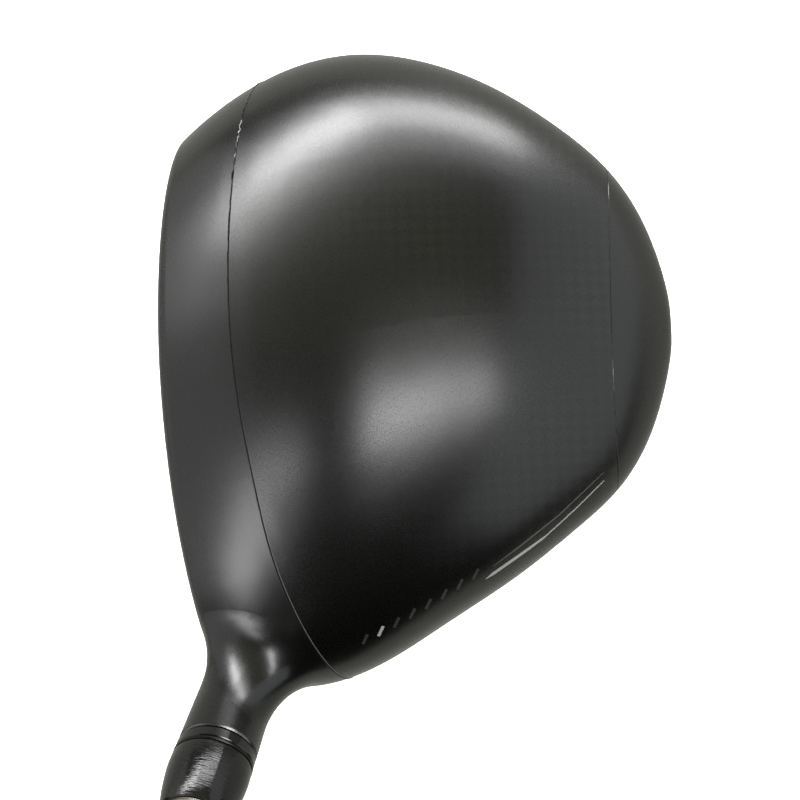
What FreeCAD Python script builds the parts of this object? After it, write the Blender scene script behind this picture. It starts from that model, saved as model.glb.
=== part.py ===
import FreeCAD, Part
import math, os
from FreeCAD import Vector

# A golf driver for a right-handed player, in millimetres, standing at address.
# +X runs from the toe to the heel (towards the player), -Y is the target side
# that the face looks at, +Y is the back of the head, +Z is up.
# The origin is the middle of the flat pad on the sole that meets the ground.

# ---- club ----
CLUB_LENGTH = 1156.0        # along the shaft, ground to the butt: 45.5 inches
LIE = math.radians(59.5)    # shaft above the ground, seen from the front
LOFT = math.radians(10.5)   # face leans back by this
FACE_R = 305.0              # bulge and roll: a 12 inch ball
FACE_MID = Vector(-4.0, -38.3, 31.0)
GAP = 0.12                  # bond line between neighbouring shell pieces
FIT = 0.06                  # radial running clearance of threads and sleeve

# ---- shell ----
WALL = 1.0                  # crown, skirt and sole
FACE_T = 3.0                # face and the frame round it
SOLE_T = 1.4
FACE_EDGE_R = 4.0           # rounding between the face and the body
FACE_OVAL = (41.0, 19.0)    # half width and half height of the face insert
FACE_OVAL_X = 1.0           # its centre, heelward of the middle of the face
FACE_POCKET = 9.0           # the insert's opening goes this deep
SCORE_ROWS, SCORE_STEP = 3, 4.2     # score lines above and below the middle
SCORE_LEN, SCORE_W, SCORE_DEPTH = 16.0, 0.8, 0.3
SCORE_X = (-35.0, 11.0)     # toe-side ends of the two groups of score lines
NECK_R = 12.0               # flare from the hosel into the crown
SKIRT_Z = 27.0              # crown panel ends here, under the widest line
SOLE_Z = 20.0               # sole panels end here
TAIL_Z = 22.0               # rear cover ends here
KEEL_X = (-17.0, 9.0)       # metal spine between the two sole panels
WINDOW_Y = -2.0             # front edge of the sole panels
WINDOW_BACK = 6.0           # sole panels stop this far ahead of the rear seam
POST_RIM = 2.0              # metal left round the hosel tube by the heel panel
LEDGE = 7.0                 # width of the bonding ledge under the crown
LEDGE_T, LEDGE_GAP = 0.7, 0.15      # its thickness, and its clearance from the shell
LEDGE_Z = 22.5              # lower edge of the ledge
LEDGE_END = 0.4             # it stops this far ahead of the rear seam
CROWN_K, SOLE_K = 0.06, 0.09    # squareness of the upper and lower sections

# Cross-sections of the bare head, front to back:
# y, toe x, heel x, top z, widest z, bottom z, lift of the heel side
SECTIONS = [
    (-48.0, -36.0, 45.5, 53.6, 32.0, 7.0, 2.5),
    (-38.0, -47.0, 54.4, 56.3, 32.2, 3.6, 3.5),
    (-30.0, -54.2, 60.0, 58.3, 32.4, 1.6, 4.5),
    (-20.0, -60.6, 64.0, 60.4, 32.5, 0.2, 5.5),
    (-8.0, -64.9, 64.9, 61.6, 32.5, -0.4, 5.5),
    (5.0, -65.8, 60.8, 61.3, 32.2, -0.3, 5.0),
    (18.0, -62.8, 53.4, 59.0, 31.6, 1.0, 4.0),
    (32.0, -56.1, 45.0, 54.2, 30.9, 4.2, 2.8),
    (44.0, -47.4, 36.4, 48.4, 30.2, 8.6, 1.8),
    (54.0, -37.6, 27.6, 42.8, 29.7, 13.4, 1.0),
    (60.0, -28.0, 18.2, 38.0, 29.5, 18.3, 0.5),
    (63.4, -18.5, 9.0, 34.6, 29.4, 22.4, 0.2),
    (65.2, -10.0, 1.2, 31.8, 29.4, 26.2, 0.0),
]
MID_Y = -10.0               # the inner skins shrink towards this section

# Seams of the crown panel in plan, toe to heel
FRONT_SEAM = [(-52.0, -15.3), (-38.0, -15.8), (-22.0, -16.4), (-7.0, -16.4), (8.0, -15.4),
              (22.0, -13.4), (35.0, -11.3), (46.0, -8.2), (55.0, -4.8), (61.0, -2.2)]
REAR_SEAM = [(-36.0, 54.1), (-22.0, 52.9), (-2.0, 52.0), (16.0, 52.0), (30.0, 52.7)]

# ---- shaft axis: distances along it are measured from the ground ----
AXIS = Vector(math.cos(LIE), 0, math.sin(LIE))
SIDE = Vector(math.sin(LIE), 0, -math.cos(LIE))
AXIS_FOOT = Vector(31.21, -21.0, 0)     # where the axis meets the ground
HOSEL_END = 73.3
HOSEL_EDGE = 0.3            # broken edge at the top of the hosel
HOSEL_R = 7.0
POST_R = 7.6                # hosel tube inside the head
BORE_R = 5.0 + FIT          # sleeve bore
BORE_S = 30.0               # floor of the sleeve bore
WEB_S = 26.0                # underside of the web that the screw head pulls on
WEB_HOLE_R = 2.75
SEAT_R, SEAT_S = 4.3, 18.0  # pocket for the screw head
PORT_R = 5.4                # wrench port, open through the sole
SLEEVE_R = 5.0
SLEEVE_S = 36.0
SLEEVE_END = 75.95
SLEEVE_THREAD_END = 47.0    # blind end of the thread in the sleeve
TEETH = 12                  # loft index teeth on the sleeve
TOOTH_W, TOOTH_R, TOOTH_S = 1.5, 5.75, (68.6, 72.8)
TOOTH_ROOT = 4.0            # teeth start this far from the axis, inside the sleeve
TOOTH_PLAY = (0.35, 0.2, 0.4)       # clearance in width, radius and depth
BOND = 0.05                 # radial bond line round the shaft and the sleeve
COLLAR_S = (73.62, 75.3)    # collar that seats over the hosel
THIN_RING_S = (75.42, 75.9) # thin ring between the collar and the ferrule
COLLAR_EDGE, RING_EDGE, RING_PROUD = 0.15, 0.12, 0.06
SHAFT_TIP_R, SHAFT_BUTT_R = 4.25, 7.6
SHAFT_S = 50.5
SHAFT_TAPER_S = 160.0       # parallel up to here
TIP_WALL, BUTT_WALL = 1.6, 0.9      # wall of the shaft
TAPER_WALL = 1.2
FERRULE = [(76.02, 6.85), (76.2, 7.0), (78.4, 7.08), (83.4, 6.4), (84.4, 5.95), (84.9, 5.3)]
TRIM_S = (85.0, 87.4)
TRIM_R = 4.95
FERRULE_TOP = [(87.5, 4.85), (89.5, 4.75), (92.0, 4.5)]
GRIP_S = 886.0
GRIP_R, GRIP_GROWTH, GRIP_POWER = 8.7, 4.3, 0.9     # mouth radius and its growth
GRIP_RINGS = 5
GRIP_RING_S, GRIP_RING_STEP, GRIP_RING_W, GRIP_RING_D = 6.0, 3.2, 0.9, 0.45
GRIP_LIP = 2.5              # length of the mouth that hugs the bare shaft
TAPE_T = 0.26
CAP_S = 1151.0
CAP_EDGE = 3.2              # rounded rim outside the flat end of the cap
VENT_R = 1.8

# ---- hosel screw, M5 x 0.8 ----
SCREW_R = 2.5
SCREW_HEAD_R, SCREW_HEAD_H = 4.0, 3.4
SCREW_TIP_S = 44.0
SCREW_POINT = 0.6           # chamfer at the tip
SCREW_STAR = (1.95, 2.3)    # radius and depth of the six-lobed socket
WASHER_T = 0.5
RETAINER_R, RETAINER_T = 2.6, 0.9   # hole and thickness of the snap ring

# ---- sole weights: puck, M4 x 0.7 screw, threaded bush and seal ----
WEIGHT_SCREW_R = 2.0
WEIGHT_HEAD_R, WEIGHT_HEAD_H = 3.6, 2.2
WEIGHT_THREAD = 5.0         # engaged length of the thread
WEIGHT_STAR = (1.9, 1.6)
WEIGHT_SUNK = 0.5           # pucks and screw heads lie this far below the sole
WEIGHT_PLAY = 0.3           # radial room round a puck
WEIGHT_FLOOR = 1.0          # recess depth past the height of the puck
BUSH_R, BUSH_LEN = 3.55, 6.4
BUSH_HOLE_R = 3.6
BOSS_RIM, BOSS_FLOOR = 2.2, 2.0     # metal round and under a recess
BOSS_R, BOSS_END = 5.2, 1.0         # metal round and past the bush
SEAL_T, SEAL_W = 0.43, 1.4
# name, y of the section, angle round it, puck radius, puck height
WEIGHTS = [("rear_weight", 56.0, math.radians(179.0), 7.0, 6.0),
           ("front_weight", -9.0, math.radians(180.0), 6.0, 4.5)]


def vec(x, y, z):
    return Vector(x, y, z)


def at(s):
    """Point on the shaft axis, s millimetres above the ground."""
    return AXIS_FOOT + AXIS * s


def rod(r, s0, s1):
    return Part.makeCylinder(r, s1 - s0, at(s0), AXIS)


def tube(r_out, r_in, s0, s1):
    return rod(r_out, s0, s1).cut(rod(r_in, s0 - 1, s1 + 1))


def turned(profile):
    """Solid of revolution about the shaft axis, from (s, r) corners."""
    corners = [at(s) + SIDE * r for s, r in profile]
    face = Part.Face(Part.makePolygon(corners + corners[:1]))
    return face.revolve(AXIS_FOOT, AXIS, 360)


def bored(profile, r_in):
    """Turned outline of (s, r) corners with a straight bore through it."""
    s0, s1 = profile[0][0], profile[-1][0]
    return turned([(s0, r_in)] + profile + [(s1, r_in)])


def lobes(angle, k):
    return (1 + k) * math.sin(angle) + k * math.sin(3 * angle)


def section_point(row, angle, inset=0.0):
    """Point of one cross-section; the angle starts at the top, towards +X."""
    y, toe, heel, top, widest, bottom, lift = row
    upper = math.cos(angle) >= 0
    half_w = (heel - toe) / 2 - inset
    half_h = (top - widest if upper else widest - bottom) - inset
    return vec((toe + heel) / 2 + half_w * lobes(angle, CROWN_K if upper else SOLE_K),
               y - inset * (y - MID_Y) / (SECTIONS[-1][0] - MID_Y),
               widest + half_h * math.cos(angle) + lift * math.sin(angle) ** 3)


def section_wire(row, inset, count=28):
    pts = [section_point(row, 2 * math.pi * i / count, inset) for i in range(count)]
    curve = Part.BSplineCurve()
    curve.interpolate(pts, PeriodicFlag=True)
    return Part.Wire([curve.toShape()])


def skin(inset):
    """The head without its face cut, shrunk by the inset."""
    return Part.makeLoft([section_wire(r, inset) for r in SECTIONS], True, False, False, 5)


def face_normal():
    return vec(0, -math.cos(LOFT), math.sin(LOFT))


def ball(inset):
    """Ball whose front surface is the face, moved in by the inset."""
    return Part.makeSphere(FACE_R - inset, FACE_MID - face_normal() * FACE_R)


def above(z):
    return Part.makeBox(400, 400, 200, vec(-200, -200, z))


def outer_head():
    """Bare head with its face, flat pad, hosel and flared neck."""
    head = skin(0).common(ball(0)).common(above(0))
    face = [f for f in head.Faces if f.Surface.TypeId == "Part::GeomSphere"][0]
    head = head.makeFillet(FACE_EDGE_R, face.Edges)
    stem = rod(HOSEL_R, 22, HOSEL_END)
    rim = [e for e in stem.Edges if e.isClosed() and (e.CenterOfMass - at(HOSEL_END)).Length < 1]
    head = head.fuse(stem.makeChamfer(HOSEL_EDGE, rim))
    hosel = [f for f in head.Faces if f.Surface.TypeId == "Part::GeomCylinder"][0]
    root = [e for e in hosel.Edges if e.Curve.TypeId != "Part::GeomLine"
            and e.BoundBox.ZMax < at(HOSEL_END).z - HOSEL_R]
    return head.makeFillet(NECK_R, root)


def inner_head():
    """Hollow inside the shell, with the hosel post left standing in it."""
    hollow = skin(WALL).common(ball(FACE_T)).common(above(SOLE_T))
    return hollow.cut(rod(POST_R, -10, HOSEL_END))


def seam(points, shift):
    """Seam in plan as one smooth curve, carried straight on past both sides."""
    reach = 90.0
    ends = []
    for (xa, ya), (xb, yb) in ((points[1], points[0]), (points[-2], points[-1])):
        x = math.copysign(reach, xb)
        ends.append((x, yb + 0.5 * (yb - ya) / (xb - xa) * (x - xb)))
    pts = [ends[0]] + points + [ends[1]]
    curve = Part.BSplineCurve()
    curve.interpolate([vec(x, y + shift, 0) for x, y in pts])
    return curve.toShape()


def plan_block(front, rear, z0, z1):
    """Upright block between two seams in plan."""
    a0, a1 = front.Vertexes[0].Point, front.Vertexes[-1].Point
    b0, b1 = rear.Vertexes[0].Point, rear.Vertexes[-1].Point
    wire = Part.Wire([front, Part.makeLine(a1, b1), rear, Part.makeLine(b0, a0)])
    block = Part.Face(wire).extrude(vec(0, 0, z1 - z0))
    block.translate(vec(0, 0, z0))
    return block


def line_seam(y):
    return Part.makeLine(vec(-90, y, 0), vec(90, y, 0))


def crown_block(grow):
    return plan_block(seam(FRONT_SEAM, -grow), seam(REAR_SEAM, grow), SKIRT_Z - grow, 90)


def tail_block(grow):
    return plan_block(seam(REAR_SEAM, -grow), line_seam(90), TAIL_Z - grow, 90)


def window_block(side, grow):
    """Cutter for one sole panel: toe side -1, heel side +1."""
    x = KEEL_X[0] + grow if side < 0 else KEEL_X[1] - grow
    y0 = WINDOW_Y - grow
    depth = REAR_SEAM[2][1] - WINDOW_BACK + grow - y0
    start = x - 100 if side < 0 else x
    block = Part.makeBox(100, depth, SOLE_Z + grow + 5, vec(start, y0, -5))
    return block.cut(rod(POST_R + POST_RIM - grow, -20, 60))


def face_block(grow, depth):
    """Oval cutter along the face normal."""
    centre = FACE_MID + vec(FACE_OVAL_X, 0, 0)
    n = face_normal()
    up = vec(0, math.sin(LOFT), math.cos(LOFT))
    long_r, short_r = FACE_OVAL[0] + grow, FACE_OVAL[1] + grow
    oval = Part.Ellipse(centre + vec(long_r, 0, 0), centre + up * short_r, centre)
    face = Part.Face(Part.Wire([oval.toShape()]))
    face.translate(n * -depth)
    return face.extrude(n * (depth + 12))


def weight_frame(y, angle):
    """Point on the sole and outward normal at a section position."""
    rows = SECTIONS
    for lo, hi in zip(rows, rows[1:]):
        if lo[0] <= y <= hi[0]:
            t = (y - lo[0]) / (hi[0] - lo[0])
            here = section_point(lo, angle) * (1 - t) + section_point(hi, angle) * t
            along = section_point(hi, angle) - section_point(lo, angle)
            row = [a + (b - a) * t for a, b in zip(lo, hi)]
            around = section_point(row, angle + 0.02) - section_point(row, angle - 0.02)
            n = along.cross(around).normalize()
            if n.z > 0:
                n = n * -1
            if here.z < 0:
                here.z = 0
            return here, n


def disc(point, normal, r, top, bottom):
    """Cylinder on a weight axis, between two depths below the sole surface."""
    return Part.makeCylinder(r, bottom - top, point - normal * bottom, normal)


def star_socket(point, normal, r, depth):
    """Six-lobed driver socket, as a cutter."""
    cut = disc(point, normal, r * 0.74, -1, depth)
    side = normal.cross(vec(1, 0, 0)).normalize()
    for i in range(6):
        d = FreeCAD.Rotation(normal, 60.0 * i).multVec(side) * (r * 0.72)
        cut = cut.fuse(disc(point + d, normal, r * 0.28, -1, depth))
    return cut


def weight_boss(row):
    """Metal round one weight recess, reaching into the head."""
    name, y, angle, r, h = row
    p, n = weight_frame(y, angle)
    floor = h + WEIGHT_FLOOR
    rim = disc(p, n, r + BOSS_RIM, -6, floor + BOSS_FLOOR)
    return rim.fuse(disc(p, n, BOSS_R, 0, floor + BUSH_LEN + 0.1 + BOSS_END))


def weight_recess(row):
    name, y, angle, r, h = row
    p, n = weight_frame(y, angle)
    floor = h + WEIGHT_FLOOR
    recess = disc(p, n, r + WEIGHT_PLAY, -8, floor)
    return recess.fuse(disc(p, n, BUSH_HOLE_R, 0, floor + BUSH_LEN + 0.1))


def weight_bush(row):
    """Blind threaded bush under a weight."""
    name, y, angle, r, h = row
    p, n = weight_frame(y, angle)
    top = h + WEIGHT_FLOOR + 0.02
    bush = disc(p, n, BUSH_R, top, h + WEIGHT_FLOOR + BUSH_LEN)
    return bush.cut(disc(p, n, WEIGHT_SCREW_R + FIT, 0, top + BUSH_LEN - 0.5))


def weight_puck(row):
    name, y, angle, r, h = row
    p, n = weight_frame(y, angle)
    puck = disc(p, n, r, WEIGHT_SUNK, h + WEIGHT_SUNK)
    puck = puck.makeFillet(0.5, outer_rim(puck, p, n))
    seat = disc(p, n, WEIGHT_HEAD_R + 0.3, 0, WEIGHT_SUNK + WEIGHT_HEAD_H + 0.1)
    return puck.cut(seat).cut(disc(p, n, WEIGHT_SCREW_R + 0.2, 0, h + 2))


def outer_rim(solid, point, normal):
    """Round edges of a weight piece at its outer face."""
    return [e for e in solid.Edges if e.isClosed()
            and (e.CenterOfMass - point).dot(normal) > -1.0]


def weight_seal(row):
    """Rubber ring between a puck and the floor of its recess."""
    name, y, angle, r, h = row
    p, n = weight_frame(y, angle)
    top = h + WEIGHT_SUNK + 0.02
    ring = disc(p, n, r - 0.5, top, top + SEAL_T)
    return ring.cut(disc(p, n, r - 0.5 - SEAL_W, h, h + 2))


def weight_screw(row):
    name, y, angle, r, h = row
    p, n = weight_frame(y, angle)
    under = WEIGHT_SUNK + WEIGHT_HEAD_H + 0.08
    screw = disc(p, n, WEIGHT_HEAD_R, WEIGHT_SUNK, under)
    screw = screw.makeFillet(0.35, outer_rim(screw, p, n))
    tip = h + WEIGHT_FLOOR + WEIGHT_THREAD
    screw = screw.fuse(disc(p, n, WEIGHT_SCREW_R, under - 0.2, tip))
    return screw.cut(star_socket(p - n * WEIGHT_SUNK, n, *WEIGHT_STAR))


def hosel_bores():
    """Sleeve bore, web hole, screw pocket and wrench port in one cutter."""
    cut = rod(BORE_R, BORE_S, HOSEL_END + 5).fuse(rod(WEB_HOLE_R, WEB_S - 1, BORE_S + 1))
    cut = cut.fuse(rod(SEAT_R, SEAT_S - 1, WEB_S)).fuse(rod(PORT_R, -10, SEAT_S))
    wide, tall, deep = TOOTH_PLAY
    return cut.fuse(index_teeth(TOOTH_W + wide, TOOTH_R + tall, TOOTH_S[0] - deep,
                                HOSEL_END + 5))


def index_teeth(width, r, s0, s1):
    """Ring of teeth round the sleeve axis."""
    teeth = None
    for i in range(TEETH):
        tooth = Part.makeBox(r - TOOTH_ROOT, width, s1 - s0, vec(TOOTH_ROOT, -width / 2, 0))
        tooth.rotate(vec(0, 0, 0), vec(0, 0, 1), 360.0 * i / TEETH)
        teeth = tooth if teeth is None else teeth.fuse(tooth)
    teeth.Placement = FreeCAD.Placement(at(s0), FreeCAD.Rotation(vec(0, 0, 1), AXIS))
    return teeth


def front_body(outer, shell):
    """Face frame, hosel, skirt and keel in one piece."""
    body = shell
    for row in WEIGHTS:
        body = body.fuse(weight_boss(row).common(outer))
    body = body.cut(crown_block(GAP / 2)).cut(tail_block(GAP / 2))
    body = body.cut(plan_block(seam(REAR_SEAM, -10), line_seam(90), SKIRT_Z - GAP / 2, 90))
    for side in (-1, 1):
        body = body.cut(window_block(side, GAP / 2))
    body = body.cut(face_block(GAP / 2, FACE_POCKET))
    for row in WEIGHTS:
        body = body.cut(weight_recess(row))
    return body.cut(hosel_bores())


def face_insert():
    """Face plate with two groups of score lines."""
    plate = ball(0).cut(ball(FACE_T - 0.1)).common(face_block(-GAP / 2, FACE_POCKET))
    up = vec(0, math.sin(LOFT), math.cos(LOFT))
    outer_layer = ball(-0.2).cut(ball(SCORE_DEPTH))
    for i in range(-SCORE_ROWS, SCORE_ROWS + 1):
        mid = FACE_MID + up * (SCORE_STEP * i)
        for x in SCORE_X:
            bar = Part.makeBox(SCORE_LEN, 10, SCORE_W, vec(x, mid.y - 5, mid.z - SCORE_W / 2))
            plate = plate.cut(bar.common(outer_layer))
    return plate


def crown_ledge():
    """Thin ring inside the head that the crown panel is bonded to."""
    top = WALL + LEDGE_GAP
    band = skin(top).cut(skin(top + LEDGE_T)).common(ball(FACE_T + 0.2))
    band = band.common(plan_block(seam(FRONT_SEAM, -LEDGE), seam(REAR_SEAM, -LEDGE_END),
                                  LEDGE_Z, 90))
    hole = plan_block(seam(FRONT_SEAM, LEDGE), seam(REAR_SEAM, -LEDGE), SKIRT_Z + 5, 90)
    return band.cut(hole).cut(rod(POST_R + 0.3, -10, 90))


def adapter_sleeve():
    """Sleeve bonded to the shaft tip, with its index teeth and blind thread."""
    sleeve = rod(SLEEVE_R, SLEEVE_S, SLEEVE_END)
    sleeve = sleeve.fuse(index_teeth(TOOTH_W, TOOTH_R, TOOTH_S[0], TOOTH_S[1]))
    sleeve = sleeve.cut(rod(SHAFT_TIP_R + BOND, SHAFT_S - 0.3, SLEEVE_END + 1))
    return sleeve.cut(rod(SCREW_R + FIT, SLEEVE_S - 1, SLEEVE_THREAD_END))


def ring(r, s0, s1, edge):
    """Collar on the sleeve with both outer edges broken."""
    return bored([(s0, r - edge), (s0 + edge, r), (s1 - edge, r), (s1, r - edge)],
                 SLEEVE_R + BOND)


def shaft_r(s):
    """Outside radius: parallel tip, then an even taper to the butt."""
    t = (s - SHAFT_TAPER_S) / (CAP_S - SHAFT_TAPER_S)
    return SHAFT_TIP_R + (SHAFT_BUTT_R - SHAFT_TIP_R) * max(0.0, min(1.0, t))


def shaft():
    end = CAP_S - 1.0
    outside = [(s, shaft_r(s)) for s in (SHAFT_S, SHAFT_TAPER_S, end)]
    inside = [(end, shaft_r(end) - BUTT_WALL), (SHAFT_TAPER_S, SHAFT_TIP_R - TAPER_WALL),
              (SHAFT_S, SHAFT_TIP_R - TIP_WALL)]
    return turned(outside + inside)


def shaft_plug():
    """Cork that keeps adhesive out of the shaft."""
    return rod(SHAFT_TIP_R - TIP_WALL - BOND, SHAFT_S + 0.3, SHAFT_S + 8)


def grip_tape():
    """Double-sided tape between the shaft and the grip."""
    s0, s1 = GRIP_S + 3, CAP_S - 1.2
    inner, outer = 0.02, 0.02 + TAPE_T
    return turned([(s0, shaft_r(s0) + inner), (s0, shaft_r(s0) + outer),
                   (s1, shaft_r(s1) + outer), (s1, shaft_r(s1) + inner)])


def grip_r(s):
    """Outside radius of the grip: thin mouth, fuller towards the butt."""
    return GRIP_R + GRIP_GROWTH * ((s - GRIP_S) / (CAP_S - GRIP_S)) ** GRIP_POWER


def grip():
    """Rubber sleeve with ring grooves near its mouth."""
    steps = 12
    start, end = GRIP_S + 3, CAP_S - 0.2
    lip = GRIP_S + GRIP_LIP
    outside = [(GRIP_S, shaft_r(GRIP_S) + 0.9), (GRIP_S + 1.2, GRIP_R - 0.1)]
    outside += [(s, grip_r(s)) for s in
                [start + (end - start) * i / steps for i in range(steps + 1)]]
    inside = [(end, shaft_r(end) + 0.35), (lip, shaft_r(lip) + 0.35),
              (lip, shaft_r(GRIP_S) + 0.1), (GRIP_S, shaft_r(GRIP_S) + 0.1)]
    body = turned(outside + inside)
    for i in range(GRIP_RINGS):
        s = GRIP_S + GRIP_RING_S + GRIP_RING_STEP * i
        body = body.cut(tube(grip_r(s) + 2, grip_r(s) - GRIP_RING_D, s, s + GRIP_RING_W))
    return body


def grip_cap():
    """Butt cap with its vent hole."""
    r = grip_r(CAP_S)
    cap = turned([(CAP_S, 0), (CAP_S, r), (CAP_S + 1.6, r + 0.15), (CAP_S + 3.4, r - 0.7),
                  (CLUB_LENGTH - 0.35, r - 2.0), (CLUB_LENGTH, r - CAP_EDGE),
                  (CLUB_LENGTH, 0)])
    return cap.cut(rod(VENT_R, CAP_S - 2, CLUB_LENGTH + 2))


def hosel_screw():
    top = WEB_S - WASHER_T - 0.02
    foot = top - SCREW_HEAD_H
    edge = 0.35
    screw = turned([(foot, 0), (foot, SCREW_HEAD_R - edge), (foot + edge, SCREW_HEAD_R),
                    (top, SCREW_HEAD_R), (top, SCREW_R),
                    (SCREW_TIP_S - SCREW_POINT, SCREW_R),
                    (SCREW_TIP_S, SCREW_R - SCREW_POINT), (SCREW_TIP_S, 0)])
    return screw.cut(star_socket(at(foot), AXIS * -1, *SCREW_STAR))


def screw_washer():
    return tube(SCREW_HEAD_R, SCREW_R + 0.15, WEB_S - WASHER_T, WEB_S - 0.01)


def screw_retainer():
    """Snap ring under the screw head; the wrench passes through it."""
    top = WEB_S - WASHER_T - SCREW_HEAD_H - 0.15
    return tube(SEAT_R - 0.02, RETAINER_R, top - RETAINER_T, top)


def build():
    os.makedirs("parts", exist_ok=True)
    outer = outer_head()
    shell = outer.cut(inner_head())
    made = {
        "front_body": front_body(outer, shell),
        "face_insert": face_insert(),
        "crown_panel": shell.common(crown_block(-GAP / 2)),
        "rear_cover": shell.common(tail_block(-GAP / 2)),
        "sole_panel_toe": shell.common(window_block(-1, -GAP / 2)),
        "sole_panel_heel": shell.common(window_block(1, -GAP / 2)),
        "crown_ledge": crown_ledge(),
        "hosel_screw": hosel_screw(),
        "hosel_screw_washer": screw_washer(),
        "screw_retainer": screw_retainer(),
        "adapter_sleeve": adapter_sleeve(),
        "sleeve_collar": ring(HOSEL_R, COLLAR_S[0], COLLAR_S[1], COLLAR_EDGE),
        "sleeve_ring": ring(HOSEL_R + RING_PROUD, THIN_RING_S[0], THIN_RING_S[1], RING_EDGE),
        "ferrule": bored(FERRULE, SHAFT_TIP_R + BOND),
        "ferrule_trim": bored([(s, TRIM_R) for s in TRIM_S], SHAFT_TIP_R + BOND),
        "ferrule_top": bored(FERRULE_TOP, SHAFT_TIP_R + BOND),
        "shaft": shaft(),
        "shaft_plug": shaft_plug(),
        "grip_tape": grip_tape(),
        "grip": grip(),
        "grip_cap": grip_cap(),
    }
    for row in WEIGHTS:
        made[row[0]] = weight_puck(row)
        made[row[0] + "_screw"] = weight_screw(row)
        made[row[0] + "_bush"] = weight_bush(row)
        made[row[0] + "_seal"] = weight_seal(row)
    for name, shape in made.items():
        solids = sorted(shape.Solids, key=lambda s: -s.Volume)
        solid = solids[0]
        print(name, "solids", len(solids), "valid", solid.isValid(),
              "mm3", round(solid.Volume, 1), [round(s.Volume, 2) for s in solids[1:]])
        solid.exportStep("parts/%s.step" % name)
    for row in WEIGHTS:
        p, n = weight_frame(row[1], row[2])
        print(row[0], "at", p, "normal", n)


build()
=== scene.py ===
import bpy, bmesh, math, random
from mathutils import Vector, Matrix
from mathutils.bvhtree import BVHTree


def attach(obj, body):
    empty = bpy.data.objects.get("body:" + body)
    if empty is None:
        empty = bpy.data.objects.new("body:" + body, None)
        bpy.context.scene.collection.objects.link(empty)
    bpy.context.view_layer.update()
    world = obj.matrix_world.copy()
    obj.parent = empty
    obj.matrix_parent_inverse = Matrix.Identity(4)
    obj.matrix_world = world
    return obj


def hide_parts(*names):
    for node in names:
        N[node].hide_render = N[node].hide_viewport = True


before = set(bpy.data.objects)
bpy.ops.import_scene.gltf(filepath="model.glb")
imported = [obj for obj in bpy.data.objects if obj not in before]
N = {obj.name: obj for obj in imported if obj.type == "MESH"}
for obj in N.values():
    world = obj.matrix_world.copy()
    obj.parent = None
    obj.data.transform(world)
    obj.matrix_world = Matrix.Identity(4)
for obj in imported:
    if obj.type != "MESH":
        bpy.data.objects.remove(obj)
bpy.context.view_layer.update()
scene = bpy.context.scene
MM = 0.001

# The shaft axis, as in the CAD model; s is the distance along it from the ground, in mm
LIE = math.radians(59.5)
LOFT = math.radians(10.5)
AXIS = Vector((math.cos(LIE), 0, math.sin(LIE)))
SIDE = Vector((math.sin(LIE), 0, -math.cos(LIE)))
FOOT = Vector((31.21, -21.0, 0)) * MM
FACE_MID = Vector((-4.0, -38.3, 31.0)) * MM
FACE_UP = Vector((0, math.sin(LOFT), math.cos(LOFT)))
SCORE_STEP, SCORE_HALF, SCORE_LEN = 4.2, 0.42, 16.0
SCORE_ROWS = 3.4
SCORE_MID = (-27.0, 19.0)
HOSEL_RIM = 73.2
SHAFT_RINGS = ((128, 0.9), (132, 0.35), (858, 0.35), (862, 0.9))
GRIP_PATTERN = (912.0, 1143.0)
FERRULE_BORE = 4.3
FERRULE_PROFILE = [(76.02, 6.86), (76.25, 7.0), (77.2, 7.04), (78.4, 7.02), (80.0, 6.84),
                   (82.0, 6.50), (83.4, 6.18), (84.3, 5.88), (84.9, 5.60)]

# Lacquer along the crown's seams, and light grey lines along their edges that are painted highlight:
# values in mm for places x in mm, from toe to heel
SEAM_STEP = 0.5
WALL_TILT, WALL_FACING, CORNER = 0.1, 0.85, 0.7
BEAD_SIDES, BEAD_SUNK = 8, 0.06
FRONT_SEAM_WIDTH = [(-62, 0.10), (-57, 0.45), (-50, 0.60), (-40, 0.50), (-28, 0.36), (0, 0.28),
                    (60, 0.20)]
FRONT_SEAM_UNEVEN = [(-60, 0.10), (60, 0.05)]
FRONT_BRIGHT_WIDTH = [(-60, 0.10), (-54, 0.24), (-40, 0.20), (-26, 0.08), (60, 0.05)]
FRONT_BRIGHT_UNEVEN = [(-60, 0.5), (-40, 0.6), (-24, 0.5), (-10, 0.15), (60, 0.1)]
# painted highlight: light grey line along the heel half of the front seam's edge, where the edge would
# catch the light
FRONT_HIGHLIGHT_WIDTH = [(8, 0.03), (30, 0.08), (62, 0.10)]
REAR_SEAM_WIDTH = [(-36, 0.10), (30, 0.12)]
REAR_SEAM_UNEVEN = [(-36, 0.15), (30, 0.15)]
# painted highlight: light grey line along the toe half of the rear seam's edge, where the edge would
# catch the light
REAR_HIGHLIGHT_WIDTH = [(-36, 0.07), (-2, 0.05)]
EVEN = [(-60, 0.0), (60, 0.0)]
BRIGHT_START = 6

# Painted lines on the crown, as (x, y, width) in mm
BRIGHT_STRIPE = [(43.0, 26.2, 0.06), (42.1, 27.6, 0.55), (38.5, 33.5, 0.55), (36.2, 37.2, 0.42),
                 (35.6, 38.0, 0.24), (31.0, 43.7, 0.22), (26.0, 49.4, 0.16)]
GREY_STRIPE = [(40.5, 27.7, 0.10), (37.5, 32.3, 0.32), (31.8, 40.5, 0.26), (24.4, 49.3, 0.14)]
TICKS, PALE_TICK, TICK_WIDTH = 8, 1, 0.5

# Floor and surround: heights in mm, radii in m, strengths as emission
FLOOR_Z, TWIN_Z = -0.6, -0.8
FLOOR_RADIUS, TWIN_SIZE, SURROUND_RADIUS = 19.5, 12, 20
FLOOR_GLOW, TWIN_GLOW, SURROUND_GLOW, WORLD_GLOW = 0.95, 0.56, 1.0, 0.004
LIGHT_TARGET = Vector((0.0, 0.01, 0.05))

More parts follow.
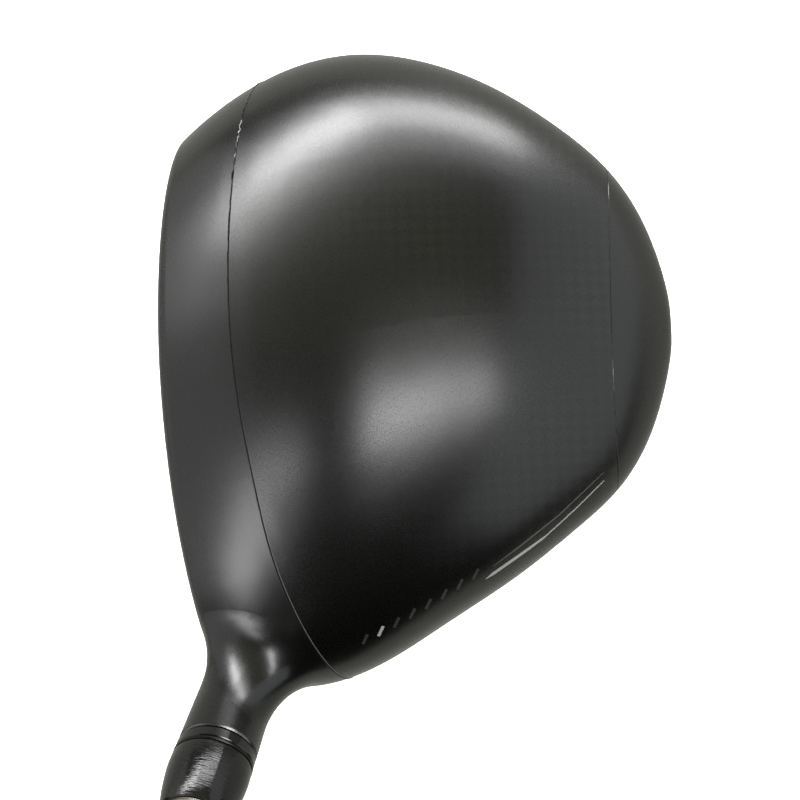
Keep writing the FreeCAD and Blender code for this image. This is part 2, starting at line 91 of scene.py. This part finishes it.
# The camera stands above the crown and looks down at it
CAMERA_LENS = 33.3
CAMERA_PLACE = Vector((12.90, 33.70, 186.71)) * MM
CAMERA_RIGHT = Vector((0.0500, 0.9864, -0.1565))
CAMERA_DOWN = Vector((0.9983, -0.0540, -0.0216))
CAMERA_AHEAD = Vector((-0.0297, -0.1552, -0.9874))

# ---------------------------------------------------------------- materials


class Mat:
    """A Principled material built up from a few procedural layers."""

    def __init__(self, name, color, rough, metal=0.0, **sockets):
        self.m = bpy.data.materials.new(name)
        self.m.use_nodes = True
        self.t = self.m.node_tree
        self.b = self.t.nodes["Principled BSDF"]
        self.set("Base Color", (*color, 1))
        self.set("Roughness", rough)
        self.set("Metallic", metal)
        for k, v in sockets.items():
            self.set(k.replace("_", " "), v)
        self.co = self.new("ShaderNodeTexCoord").outputs["Object"]
        self.normal = None

    def new(self, kind, **props):
        n = self.t.nodes.new(kind)
        for k, v in props.items():
            setattr(n, k, v)
        return n

    def set(self, socket, value):
        self.b.inputs[socket].default_value = value

    def link(self, a, b):
        self.t.links.new(a, b)

    def to(self, socket, value):
        self.link(value, self.b.inputs[socket])

    def put(self, node, **values):
        for k, v in values.items():
            sock = node.inputs[k.replace("_", " ")]
            if isinstance(v, bpy.types.NodeSocket):
                self.link(v, sock)
            else:
                sock.default_value = v
        return node

    def noise(self, scale, detail=4.0, rough=0.6, co=None):
        n = self.new("ShaderNodeTexNoise")
        self.put(n, Vector=co or self.co, Scale=scale, Detail=detail, Roughness=rough)
        return n.outputs["Fac"]

    def math(self, op, a, b=0.0, c=0.0):
        n = self.new("ShaderNodeMath", operation=op)
        for i, v in enumerate((a, b, c)):
            if isinstance(v, bpy.types.NodeSocket):
                self.link(v, n.inputs[i])
            else:
                n.inputs[i].default_value = v
        return n.outputs[0]

    def ramp(self, fac, lo, hi, a=0.0, b=1.0):
        """Maps fac from [a, b] to [lo, hi]."""
        n = self.new("ShaderNodeMapRange")
        self.put(n, Value=fac, From_Min=a, From_Max=b, To_Min=lo, To_Max=hi)
        return n.outputs["Result"]

    def mix(self, fac, a, b):
        n = self.new("ShaderNodeMix", data_type="RGBA")
        ins = [s for s in n.inputs if s.enabled]
        for s, v in zip(ins, (fac, a, b)):
            if isinstance(v, bpy.types.NodeSocket):
                self.link(v, s)
            else:
                s.default_value = v if s.type == "VALUE" else (*v, 1)
        return [o for o in n.outputs if o.enabled][0]

    def scaled(self, x, y, z, turn=0.0):
        """Object coordinates turned about z and stretched by x, y, z."""
        n = self.new("ShaderNodeMapping")
        self.put(n, Vector=self.co, Scale=(x, y, z), Rotation=(0, 0, turn))
        return n.outputs[0]

    def dot(self, direction, origin=(0, 0, 0)):
        """Distance along a direction, in mm."""
        n = self.new("ShaderNodeVectorMath", operation="DOT_PRODUCT")
        self.link(self.co, n.inputs[0])
        n.inputs[1].default_value = Vector(direction) / MM
        return self.math("SUBTRACT", n.outputs["Value"], Vector(origin).dot(Vector(direction)) / MM)

    def station(self):
        """Distance s along the shaft axis, in mm."""
        return self.dot(AXIS, FOOT)

    def turn(self):
        """Angle round the shaft axis."""
        return self.math("ARCTAN2", self.dot((0, 1, 0), FOOT), self.dot(SIDE, FOOT))

    def axial(self, along, around):
        """Coordinates along and around the shaft, for patterns on it."""
        n = self.new("ShaderNodeCombineXYZ")
        self.put(n, X=self.math("MULTIPLY", self.station(), along),
                 Y=self.math("MULTIPLY", self.turn(), around))
        return n.outputs[0]

    def near(self, value, centre, half):
        """1 within half of the centre, 0 elsewhere."""
        return self.math("COMPARE", value, centre, half)

    def bump(self, height, strength, distance):
        n = self.new("ShaderNodeBump")
        self.put(n, Strength=strength, Distance=distance, Height=height)
        if self.normal:
            self.link(self.normal, n.inputs["Normal"])
        self.normal = n.outputs["Normal"]

    def done(self):
        if self.normal:
            self.to("Normal", self.normal)
        return self.m


def satin(name, color, light, rough, metal, grain, bump, swing=0.03, **sockets):
    """Satin coating: fine grain in height, gloss and tone."""
    s = Mat(name, color, rough, metal, **sockets)
    fine = s.noise(grain, 2.0, 0.7)
    cloud = s.noise(28.0, 3.0, 0.5)
    s.tone = s.mix(s.ramp(fine, 0.0, 1.0, 0.35, 0.65), color, light)
    s.to("Base Color", s.tone)
    s.to("Roughness", s.math("ADD", s.ramp(fine, rough - swing, rough + swing, 0.3, 0.7),
                             s.ramp(cloud, -0.02, 0.02, 0.3, 0.7)))
    s.bump(fine, bump, 0.00002)
    return s


def paint(name, color, rough=0.35):
    """Thin printed paint."""
    s = Mat(name, color, rough)
    fine = s.noise(5000.0, 2.0)
    s.to("Base Color", s.mix(fine, [c * 0.85 for c in color], [min(1, c * 1.1) for c in color]))
    s.bump(fine, 0.1, 0.00001)
    return s.done()


def titanium():
    """Satin black coating; the broken edge of the hosel is bare metal."""
    s = satin("satin_titanium", (0.0012, 0.0012, 0.0010), (0.0024, 0.0024, 0.0021), 0.26, 0.0,
              6200.0, 0.01)
    rim = s.near(s.station(), HOSEL_RIM, 0.10)
    s.to("Base Color", s.mix(rim, s.tone, (0.12, 0.12, 0.115)))
    s.to("Metallic", rim)
    return s.done()


def crown():
    """Satin lacquer with a very faint checker showing through it towards the back."""
    s = satin("crown", (0.0005, 0.0005, 0.0004), (0.0016, 0.0016, 0.0013), 0.27, 0.0,
              6200.0, 0.02, swing=0.04)
    weave = s.new("ShaderNodeTexChecker")
    s.put(weave, Vector=s.scaled(1, 1, 0, math.radians(45)), Scale=1 / (1.7 * MM))
    patch = s.ramp(s.noise(30.0, 2.0, 0.5), 0.0, 1.0, 0.42, 0.62)
    show = s.math("MULTIPLY", weave.outputs["Fac"],
                  s.math("MULTIPLY", patch, s.ramp(s.dot((0, 1, 0)), 0.0, 0.9, -6.0, 14.0)))
    s.to("Base Color", s.mix(show, s.tone, (0.0036, 0.0036, 0.0029)))
    return s.done()


def carbon():
    """Glossy twill: bands of tow that run across each other."""
    s = Mat("carbon_twill", (0.01, 0.01, 0.01), 0.24, 0.0, Coat_Weight=0.8, Coat_Roughness=0.06)
    cell = 1 / (2.2 * MM)
    weave = s.new("ShaderNodeTexChecker")
    s.put(weave, Vector=s.scaled(1, 1, 0, math.radians(30)), Scale=cell)
    tows = []
    for turn in (30, 120):
        n = s.new("ShaderNodeTexNoise")
        s.put(n, Vector=s.scaled(0.12, 1, 0, math.radians(turn)), Scale=6 * cell, Detail=2.0)
        tows.append(n.outputs["Fac"])
    tow = s.mix(weave.outputs["Fac"], *tows)
    light = s.mix(weave.outputs["Fac"], (0.010, 0.010, 0.0105), (0.026, 0.026, 0.027))
    s.to("Base Color", s.mix(s.ramp(tow, 0, 0.6), light, (0.004, 0.004, 0.004)))
    s.to("Roughness", s.ramp(weave.outputs["Fac"], 0.22, 0.32))
    s.bump(tow, 0.05, 0.00005)
    return s.done()


def face_steel():
    """Brushed from sole to crown, with light paint in the score lines."""
    s = Mat("face_metal", (0.08, 0.08, 0.08), 0.4, 0.8)
    brush = s.noise(1.0, 3.0, 0.6, s.scaled(5200, 5200, 160))
    tone = s.mix(s.ramp(brush, 0, 1, 0.3, 0.7), (0.055, 0.055, 0.056), (0.12, 0.12, 0.122))
    rows = s.math("DIVIDE", s.dot(FACE_UP, FACE_MID), SCORE_STEP)
    off = s.math("MULTIPLY", s.math("ABSOLUTE", s.math("SUBTRACT", rows, s.math("ROUND", rows))),
                 SCORE_STEP)
    x = s.dot((1, 0, 0))
    inside = s.math("MAXIMUM", *(s.near(x, mid, SCORE_LEN / 2) for mid in SCORE_MID))
    line = s.math("MULTIPLY", s.math("LESS_THAN", off, SCORE_HALF), inside)
    line = s.math("MULTIPLY", line, s.near(rows, 0.0, SCORE_ROWS))
    s.to("Base Color", s.mix(line, tone, (0.45, 0.45, 0.44)))
    s.to("Metallic", s.ramp(line, 0.8, 0.0))
    s.to("Roughness", s.ramp(brush, 0.34, 0.5, 0.3, 0.7))
    s.bump(brush, 0.2, 0.00002)
    return s.done()


def turned_metal(name, color, light, rough, pitch=0.12):
    """Lathe-cut metal, with fine rings along the shaft axis."""
    s = Mat(name, color, rough, 1.0)
    rings = s.noise(1.0, 2.0, 0.6, s.axial(1 / pitch, 0.3))
    s.to("Base Color", s.mix(rings, color, light))
    s.to("Roughness", s.ramp(rings, rough - 0.06, rough + 0.06, 0.3, 0.7))
    s.bump(rings, 0.25, 0.00001)
    return s.done()


def ferrule_black():
    """Polished black, with fine ripples across it that break up the shine."""
    s = Mat("ferrule", (0.0045, 0.0045, 0.0045), 0.1, IOR=1.37)
    ripple = s.noise(1.0, 2.0, 0.6, s.axial(4.0, 2.6))
    s.to("Base Color", s.mix(ripple, (0.0035, 0.0035, 0.0033), (0.0075, 0.0075, 0.0070)))
    s.to("Roughness", s.ramp(ripple, 0.07, 0.14, 0.3, 0.7))
    s.bump(ripple, 0.45, 0.00009)
    return s.done()


def lacquered_shaft():
    """Black lacquer over lengthwise fibres, with two plain rings near each end."""
    s = Mat("graphite", (0.012, 0.012, 0.014), 0.2, 0.1, Coat_Weight=0.6, Coat_Roughness=0.05)
    fibre = s.noise(1.0, 3.0, 0.6, s.axial(0.05, 40.0))
    tone = s.mix(s.ramp(fibre, 0, 1, 0.35, 0.65), (0.008, 0.008, 0.0095), (0.020, 0.020, 0.023))
    s_mm = s.station()
    rings = [s.near(s_mm, centre, half) for centre, half in SHAFT_RINGS]
    ring = rings[0]
    for other in rings[1:]:
        ring = s.math("MAXIMUM", ring, other)
    s.to("Base Color", s.mix(ring, tone, (0.42, 0.42, 0.41)))
    s.to("Metallic", ring)
    s.to("Roughness", s.ramp(fibre, 0.16, 0.26))
    s.bump(fibre, 0.04, 0.00003)
    return s.done()


def grip_rubber():
    """Matt rubber with a moulded diamond pattern between plain bands."""
    s = Mat("grip_rubber", (0.012, 0.012, 0.012), 0.62)
    fine = s.noise(2600.0, 3.0)
    s_mm, turn = s.station(), s.turn()
    lean = s.math("MULTIPLY", s_mm, 1.25)
    around = s.math("MULTIPLY", turn, 14.0)
    waves = s.math("MULTIPLY", s.math("SINE", s.math("ADD", around, lean)),
                   s.math("SINE", s.math("SUBTRACT", around, lean)))
    low, high = GRIP_PATTERN
    band = s.math("PINGPONG", s.math("SUBTRACT", s_mm, low), 22.0)
    mask = s.math("MULTIPLY", s.math("GREATER_THAN", band, 3.0),
                  s.near(s_mm, (low + high) / 2, (high - low) / 2))
    pattern = s.math("MULTIPLY", s.ramp(waves, 0.0, 1.0, -0.15, 0.15), mask)
    s.to("Base Color", s.mix(pattern, s.mix(fine, (0.010, 0.010, 0.010), (0.017, 0.017, 0.017)),
                             (0.026, 0.026, 0.026)))
    s.to("Roughness", s.ramp(fine, 0.55, 0.72, 0.3, 0.7))
    s.bump(pattern, 0.8, 0.0004)
    s.bump(fine, 0.35, 0.00004)
    return s.done()


titanium_mat, crown_mat, carbon_mat = titanium(), crown(), carbon()
face_mat, ferrule_mat = face_steel(), ferrule_black()
inner = satin("inner", (0.04, 0.04, 0.04), (0.06, 0.06, 0.06), 0.6, 0.0, 1500.0, 0.3).done()
weight_metal = satin("weight_metal", (0.34, 0.34, 0.35), (0.46, 0.46, 0.47), 0.32, 1.0,
                     3000.0, 0.2).done()
black_steel = satin("black_steel", (0.03, 0.03, 0.03), (0.05, 0.05, 0.05), 0.34, 0.8,
                    3000.0, 0.25).done()
plain_steel = satin("plain_steel", (0.5, 0.5, 0.5), (0.6, 0.6, 0.6), 0.3, 1.0, 2500.0, 0.2).done()
bush_alloy = satin("bush_alloy", (0.55, 0.55, 0.56), (0.62, 0.62, 0.63), 0.35, 1.0, 2500.0,
                   0.2).done()
sleeve = turned_metal("sleeve", (0.05, 0.05, 0.052), (0.09, 0.09, 0.092), 0.3)
collar = satin("collar", (0.0020, 0.0020, 0.0020), (0.0036, 0.0036, 0.0036), 0.12, 0.0, 3600.0,
               0.02).done()
ring_steel = turned_metal("ring_steel", (0.018, 0.018, 0.018), (0.035, 0.035, 0.035), 0.3)
trim = turned_metal("trim", (0.50, 0.45, 0.38), (0.60, 0.55, 0.47), 0.26, 0.2)
graphite, rubber = lacquered_shaft(), grip_rubber()
cork = satin("cork", (0.4, 0.3, 0.2), (0.55, 0.45, 0.3), 0.9, 0.0, 900.0, 0.6).done()
tape = satin("tape", (0.6, 0.58, 0.5), (0.7, 0.68, 0.6), 0.8, 0.0, 1200.0, 0.4).done()
seal = satin("seal", (0.012, 0.012, 0.012), (0.02, 0.02, 0.02), 0.6, 0.0, 1600.0, 0.4).done()
nylon = satin("nylon", (0.75, 0.75, 0.72), (0.82, 0.82, 0.8), 0.5, 0.0, 900.0, 0.2).done()
seam_gloss = satin("seam_gloss", (0.0015, 0.0015, 0.0015), (0.003, 0.003, 0.003), 0.14, 0.0,
                   4200.0, 0.05).done()
seam_dull = satin("seam_dull", (0.0008, 0.0008, 0.0008), (0.0018, 0.0018, 0.0018), 0.6, 0.0,
                  4200.0, 0.1, Specular_IOR_Level=0.12).done()
silver_paint = paint("silver_paint", (0.27, 0.27, 0.26))
grey_paint = paint("grey_paint", (0.055, 0.057, 0.052))
dim_paint = paint("dim_paint", (0.020, 0.021, 0.019))
# painted highlight: light grey paint for the lines along the seam edges
seam_highlight_paint = paint("seam_highlight_paint", (0.085, 0.087, 0.080))

LOOKS = {
    "front_body": titanium_mat, "rear_cover": titanium_mat, "face_insert": face_mat,
    "crown_panel": crown_mat, "sole_panel_toe": carbon_mat, "sole_panel_heel": carbon_mat,
    "crown_ledge": inner, "hosel_screw": black_steel, "hosel_screw_washer": plain_steel,
    "screw_retainer": nylon, "adapter_sleeve": sleeve, "sleeve_collar": collar,
    "sleeve_ring": ring_steel, "ferrule": ferrule_mat, "ferrule_top": ferrule_mat,
    "ferrule_trim": trim, "shaft": graphite, "shaft_plug": cork, "grip_tape": tape,
    "grip": rubber, "grip_cap": rubber,
}
for w in ("rear_weight", "front_weight"):
    LOOKS[w] = weight_metal
    LOOKS[w + "_screw"] = black_steel
    LOOKS[w + "_bush"] = bush_alloy
    LOOKS[w + "_seal"] = seal
for name, look in LOOKS.items():
    N[name].data.materials.clear()
    N[name].data.materials.append(look)

# ---------------------------------------------------------------- fine pieces on the head


def piece(name, verts, faces, material, body, smooth=True):
    """New mesh that rides on a body of the CAD model."""
    mesh = bpy.data.meshes.new(name)
    mesh.from_pydata(verts, [], faces)
    mesh.materials.append(material)
    o = bpy.data.objects.new(name, mesh)
    scene.collection.objects.link(o)
    bm = bmesh.new()
    bm.from_mesh(mesh)
    bmesh.ops.recalc_face_normals(bm, faces=bm.faces)
    bm.to_mesh(mesh)
    bm.free()
    if smooth:
        mesh.shade_smooth()
        mesh.set_sharp_from_angle(angle=math.radians(40))
    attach(o, body)
    return o


def tree_of(*names):
    """Search tree over the meshes of CAD nodes, to find points on them."""
    verts, faces = [], []
    for n in names:
        base = len(verts)
        verts += [v.co.copy() for v in N[n].data.vertices]
        faces += [[base + i for i in p.vertices] for p in N[n].data.polygons]
    return BVHTree.FromPolygons(verts, faces)


top = tree_of("crown_panel", "front_body", "rear_cover")


def on_top(x, y):
    """Point and normal on the upper side of the head, from a place in plan in mm."""
    hit, normal, _, _ = top.ray_cast(Vector((x * MM, y * MM, 0.1)), Vector((0, 0, -1)))
    return hit, normal if normal.z > 0 else -normal


def panel_edge(node, facing):
    """Upper edge of a panel, on its side wall that faces that way in y, from toe to heel."""
    bm = bmesh.new()
    bm.from_mesh(N[node].data)
    bmesh.ops.remove_doubles(bm, verts=bm.verts, dist=1e-6)
    middle = Vector((0, 0, 25)) * MM
    points = []
    for e in bm.edges:
        if len(e.link_faces) != 2:
            continue
        a, b = sorted(e.link_faces, key=lambda f: abs(f.normal.z))
        wall = abs(a.normal.z) < WALL_TILT and a.normal.y * facing > WALL_FACING
        corner = abs(a.normal.dot(b.normal)) < CORNER
        mid = (e.verts[0].co + e.verts[1].co) / 2
        if wall and corner and b.normal.dot(mid - middle) > 0:
            points += [(v.co.copy(), b.normal.copy()) for v in e.verts]
    bm.free()
    highest = {}
    for p in points:
        place = round(p[0].x / (SEAM_STEP * MM))
        if place not in highest or p[0].z > highest[place][0].z:
            highest[place] = p
    return [highest[place] for place in sorted(highest)]


def resample(line, step):
    """Evenly spaced points on a line of (point, normal)."""
    out, left = [line[0]], step
    for (p, n), (q, m) in zip(line, line[1:]):
        d = (q - p).length
        while left <= d:
            t = left / d
            out.append((p.lerp(q, t), n.lerp(m, t).normalized()))
            left += step
        left -= d
    return out


def width_at(widths, x):
    """Straight-line reading of a list of (x, value)."""
    for (xa, a), (xb, b) in zip(widths, widths[1:]):
        if x <= xb:
            return a + (b - a) * max(0.0, (x - xa) / (xb - xa))
    return widths[-1][1]


def bead(name, line, widths, proud, shift, uneven, material, seed):
    """Raised line along a seam: lacquer, and for the seam edges light grey paint as painted highlight;
    half widths and unevenness by x, in mm.
    """
    rng = random.Random(seed)
    verts, faces = [], []
    k = BEAD_SIDES
    for i, (p, n) in enumerate(line):
        ahead = (line[min(i + 1, len(line) - 1)][0] - line[max(i - 1, 0)][0]).normalized()
        across = n.cross(ahead).normalized()
        rough = width_at(uneven, p.x / MM)
        w = width_at(widths, p.x / MM) * (1 + rough * rng.uniform(-1, 1))
        h = proud * (1 + rough * rng.uniform(-1, 1))
        off = shift + rough * 0.25 * rng.uniform(-1, 1)
        end = 0.3 if i in (0, len(line) - 1) else 1.0
        c = p + Vector((0, off, 0)) * MM - n * (BEAD_SUNK * MM)
        for j in range(k):
            a = 2 * math.pi * j / k
            verts.append(c + (across * (w * math.cos(a)) + n * ((h + BEAD_SUNK) * math.sin(a)))
                         * (end * MM))
    for i in range(len(line) - 1):
        for j in range(k):
            a, b = i * k + j, i * k + (j + 1) % k
            faces.append((a, b, b + k, a + k))
    faces += [tuple(range(k)), tuple(range(len(verts) - k, len(verts)))]
    return piece(name, verts, faces, material, "head")


def ribbon(name, plan, material, lift=0.03, depth=0.05):
    """Painted line on the crown, from (x, y, width) points in plan, in mm."""
    dense = []
    for (xa, ya, wa), (xb, yb, wb) in zip(plan, plan[1:]):
        steps = max(2, round(math.hypot(xb - xa, yb - ya) / 0.4))
        dense += [(xa + (xb - xa) * i / steps, ya + (yb - ya) * i / steps,
                   wa + (wb - wa) * i / steps) for i in range(steps)]
    dense.append(plan[-1])
    verts, faces = [], []
    for i, (x, y, w) in enumerate(dense):
        xa, ya, _ = dense[max(i - 1, 0)]
        xb, yb, _ = dense[min(i + 1, len(dense) - 1)]
        length = math.hypot(xb - xa, yb - ya)
        ax, ay = -(yb - ya) / length, (xb - xa) / length
        for side in (-0.5, 0.5):
            p, n = on_top(x + ax * w * side, y + ay * w * side)
            verts += [p + n * (lift * MM), p + n * ((lift - depth) * MM)]
    for i in range(len(dense) - 1):
        a, b = 4 * i, 4 * i + 4
        faces += [(a, a + 2, b + 2, b), (a + 1, b + 1, b + 3, a + 3),
                  (a, b, b + 1, a + 1), (a + 2, a + 3, b + 3, b + 2)]
    last = 4 * (len(dense) - 1)
    faces += [(0, 1, 3, 2), (last, last + 2, last + 3, last + 1)]
    return piece(name, verts, faces, material, "head", smooth=False)


def lathe(name, profile, bore, material, body, around=144):
    """Solid of revolution on the shaft axis, from (s, r) points in mm."""
    ring = profile + [(profile[-1][0], bore), (profile[0][0], bore)]
    verts, faces = [], []
    for s, r in ring:
        for j in range(around):
            a = 2 * math.pi * j / around
            verts.append(FOOT + (AXIS * s + SIDE * (r * math.cos(a))
                                 + Vector((0, r * math.sin(a), 0))) * MM)
    for i in range(len(ring)):
        for j in range(around):
            a, b = i * around, (i + 1) % len(ring) * around
            q = (j + 1) % around
            faces.append((a + j, a + q, b + q, b + j))
    return piece(name, verts, faces, material, body)


def smooth_profile(points, steps=10):
    """Soft curve through (s, r) points."""
    out = []
    for i in range(len(points) - 1):
        p0, p1 = points[max(i - 1, 0)], points[i]
        p2, p3 = points[i + 1], points[min(i + 2, len(points) - 1)]
        for j in range(steps):
            t = j / steps
            out.append(tuple(0.5 * (2 * b + (c - a) * t + (2 * a - 5 * b + 4 * c - d) * t * t
                                    + (3 * b - a - 3 * c + d) * t ** 3)
                             for a, b, c, d in zip(p0, p1, p2, p3)))
    return out + [points[-1]]


front_line = resample(panel_edge("crown_panel", -1), SEAM_STEP * MM)
rear_line = resample(panel_edge("crown_panel", 1), SEAM_STEP * MM)
front_highlight_line = [p for p in front_line if p[0].x > FRONT_HIGHLIGHT_WIDTH[0][0] * MM]
rear_highlight_line = [p for p in rear_line if p[0].x < REAR_HIGHLIGHT_WIDTH[-1][0] * MM]
bead("front_seam_line", front_line, FRONT_SEAM_WIDTH, 0.02, 0.05, FRONT_SEAM_UNEVEN, seam_dull, 5)
bead("front_seam_bright", front_line[BRIGHT_START:], FRONT_BRIGHT_WIDTH, 0.15, 0.0, FRONT_BRIGHT_UNEVEN,
     seam_gloss, 6)
bead("rear_seam_line", rear_line, REAR_SEAM_WIDTH, 0.04, 0.06, REAR_SEAM_UNEVEN, seam_gloss, 8)
# painted highlight: light grey lines along the seam edges, in place of the light that the edges catch
bead("front_seam_highlight", front_highlight_line, FRONT_HIGHLIGHT_WIDTH, 0.03, 0.24, EVEN, seam_highlight_paint, 11)
bead("rear_seam_highlight", rear_highlight_line, REAR_HIGHLIGHT_WIDTH, 0.02, -0.10, EVEN, seam_highlight_paint, 12)

ribbon("stripe_bright", BRIGHT_STRIPE, silver_paint)
ribbon("stripe_grey", GREY_STRIPE, grey_paint)
for i in range(TICKS):
    t = i / (TICKS - 1)
    x, y = 53.4 - 9.6 * t - 1.2 * t * t, 3.4 + 20.6 * t
    ribbon("tick_%d" % i, [(x, y, TICK_WIDTH), (x - 2.0, y + 1.1, TICK_WIDTH)],
           silver_paint if i == PALE_TICK else dim_paint)

shell = lathe("ferrule_shell", smooth_profile(FERRULE_PROFILE), FERRULE_BORE, ferrule_mat,
              "shaft_assembly")
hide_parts("ferrule")

# ---------------------------------------------------------------- floor, lights, camera


def glow(name, strength, base=0.9, tint=(1, 1, 1)):
    """Pale matt surface that also gives off light."""
    s = Mat(name, (base, base, base), 0.85)
    s.to("Base Color", s.mix(s.noise(90.0, 3.0), (base - 0.01,) * 3, (base + 0.01,) * 3))
    s.set("Emission Color", (*tint, 1))
    s.set("Emission Strength", strength)
    return s.done()


def staged(name, material, unseen_by):
    """Names the mesh just added, gives it its material and hides it from some kinds of rays."""
    o = bpy.context.object
    o.name = name
    o.data.materials.append(material)
    for kind in unseen_by:
        setattr(o, "visible_" + kind, False)


# the pale floor, and a greyer twin of it that only the gloss on the object picks up
bpy.ops.mesh.primitive_circle_add(vertices=96, radius=FLOOR_RADIUS, fill_type="NGON",
                                  location=(0, 0, FLOOR_Z * MM))
staged("floor", glow("floor", FLOOR_GLOW), ["glossy"])
bpy.ops.mesh.primitive_plane_add(size=TWIN_SIZE, location=(0, 0, TWIN_Z * MM))
staged("floor_twin", glow("floor_twin", TWIN_GLOW, 0.02, (1.0, 1.0, 0.90)),
       ["camera", "diffuse", "transmission", "shadow"])
# white surround behind the object; the lights and the floor do all the lighting
bpy.ops.mesh.primitive_uv_sphere_add(segments=48, ring_count=24, radius=SURROUND_RADIUS)
staged("surround", glow("surround", SURROUND_GLOW), ["diffuse", "glossy", "transmission", "shadow"])

world = bpy.data.worlds.new("world")
scene.world = world
world.use_nodes = True
sky = world.node_tree.nodes["Background"]
sky.inputs["Color"].default_value = (1, 1, 1, 1)
sky.inputs["Strength"].default_value = WORLD_GLOW


def strip_light(name, start, end, width, watts, color=(1, 1, 1)):
    """Flat soft light from start to end, turned towards the head; watts are per m2."""
    p, q = Vector(start), Vector(end)
    light = bpy.data.lights.new(name, "AREA")
    light.shape = "RECTANGLE"
    light.size = (q - p).length
    light.size_y = width
    light.energy = watts * light.size * width
    light.color = color
    o = bpy.data.objects.new(name, light)
    scene.collection.objects.link(o)
    mid = (p + q) / 2
    along = (q - p).normalized()
    shine = LIGHT_TARGET - mid
    shine = (shine - along * shine.dot(along)).normalized()
    turn = Matrix((along, along.cross(shine), -shine)).transposed()
    o.matrix_world = Matrix.Translation(mid) @ turn.to_4x4()
    o.visible_camera = False


COOL, WARM = (0.95, 1.0, 0.99), (1.0, 1.0, 0.70)
strip_light("toe_strip_back", (-1.0, 0.84, 0.20), (-1.0, 0.0, 0.54), 0.25, 39.0)
strip_light("toe_strip_mid", (-1.0, 0.0, 0.54), (-1.0, -0.75, 0.94), 0.28, 70.0)
strip_light("toe_strip_front", (-1.0, -0.75, 0.94), (-1.0, -1.35, 1.42), 0.30, 38.0)
strip_light("toe_halo", (-1.1, 0.90, 0.22), (-1.1, -1.30, 1.34), 0.75, 8.5)
strip_light("roof_back", (0.145, 0.08, 1.0), (0.135, 0.46, 1.0), 0.15, 56.0)
strip_light("roof_far", (0.12, 0.46, 1.0), (0.11, 0.92, 1.0), 0.18, 37.0)
strip_light("roof_mid", (0.22, -0.26, 1.0), (0.25, -0.56, 1.0), 0.13, 26.0)
strip_light("roof_front", (0.34, -0.52, 1.0), (0.90, -0.98, 1.0), 0.24, 28.0)
strip_light("front_left", (-0.35, -1.0, 1.0), (-1.2, -1.45, 1.0), 0.40, 6.5)
strip_light("front_wall", (-2.4, -1.6, 0.98), (1.3, -1.6, 0.98), 1.9, 3.0)
strip_light("back_wall", (-1.5, 1.5, 0.15), (1.5, 1.5, 1.25), 1.1, 3.9, COOL)
strip_light("warm_roof", (-0.58, -0.9, 1.3), (-0.58, 1.3, 1.3), 1.0, 1.1, WARM)

cam = bpy.data.cameras.new("camera")
cam.lens = CAMERA_LENS
cam.sensor_width = 36.0
cam.clip_start, cam.clip_end = 0.005, 50
cam_o = bpy.data.objects.new("camera", cam)
scene.collection.objects.link(cam_o)
axes = Matrix((CAMERA_RIGHT, -CAMERA_DOWN, -CAMERA_AHEAD)).transposed()
cam_o.matrix_world = Matrix.Translation(CAMERA_PLACE) @ axes.to_4x4()
scene.camera = cam_o
scene.view_settings.view_transform = "Standard"
